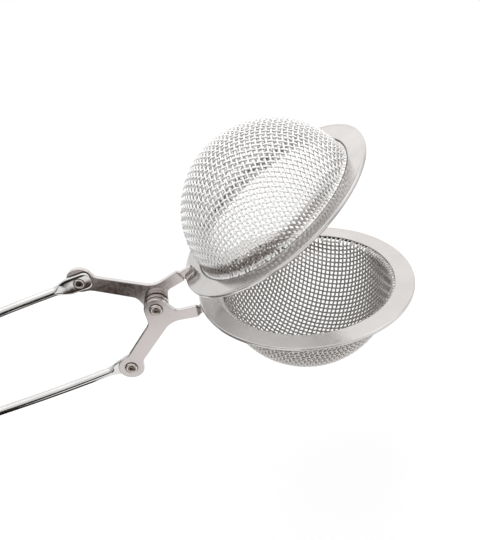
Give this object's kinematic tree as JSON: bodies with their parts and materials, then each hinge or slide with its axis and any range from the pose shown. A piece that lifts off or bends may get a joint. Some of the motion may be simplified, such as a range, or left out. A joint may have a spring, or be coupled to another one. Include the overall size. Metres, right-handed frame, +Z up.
{
  "type": "tea infuser",
  "caption": "Squeeze-handled mesh tea ball: two woven half balls with flat rims on riveted levers that open when the spring wire handle is pinched",
  "frame": {"origin": "bottom centre of the bounding box of the open infuser", "axes": "+Z up along the axis of the lower half ball, +X from the handle to the ball along the lower rim, +Y along the rivets away from the lower lever"},
  "size_m": [0.1672, 0.055, 0.083],
  "materials": {
    "polished_steel": "mirror-polished stainless sheet",
    "stamped_steel": "tumbled stainless strip, smooth satin",
    "woven_steel": "plain-woven bright stainless wire",
    "spring_wire": "polished stainless spring wire"
  },
  "bodies": {
    "lower_half": {"lower_rim_plate": "polished_steel", "lower_flange_ring": "polished_steel", "lower_mesh_bowl": "woven_steel", "lower_lever": "stamped_steel", "centre_rivet": "polished_steel", "centre_spacer": "stamped_steel", "lower_rear_rivet": "polished_steel"},
    "upper_half": {"upper_rim_plate": "polished_steel", "upper_flange_ring": "polished_steel", "upper_mesh_bowl": "woven_steel", "upper_lever": "stamped_steel", "upper_rear_rivet": "polished_steel"},
    "upper_leg": {"upper_handle_leg": "spring_wire"},
    "lower_leg": {"lower_handle_leg": "spring_wire"}
  },
  "joints": [
    {"name": "opening", "type": "hinge", "parent": "lower_half", "child": "upper_half", "pos_m": [0.01786, -0.0041, 0.03964], "axis": [0, -1, 0], "range_deg": [-34, 30], "stiffness_Nm_per_rad": 0.3},
    {"name": "upper_rear_pivot", "type": "hinge", "parent": "upper_half", "child": "upper_leg", "pos_m": [0.00012, -0.0041, 0.04888], "axis": [0, -1, 0], "range_deg": [-17.5, 19.8]},
    {"name": "lower_rear_pivot", "type": "hinge", "parent": "lower_half", "child": "lower_leg", "pos_m": [0.00832, -0.0041, 0.02207], "axis": [0, -1, 0], "range_deg": [-19.8, 17.5]}
  ],
  "couplings": [
    {"joint": "upper_rear_pivot", "follows": "opening", "ratio": -0.5767},
    {"joint": "lower_rear_pivot", "follows": "opening", "ratio": 0.5767}
  ]
}
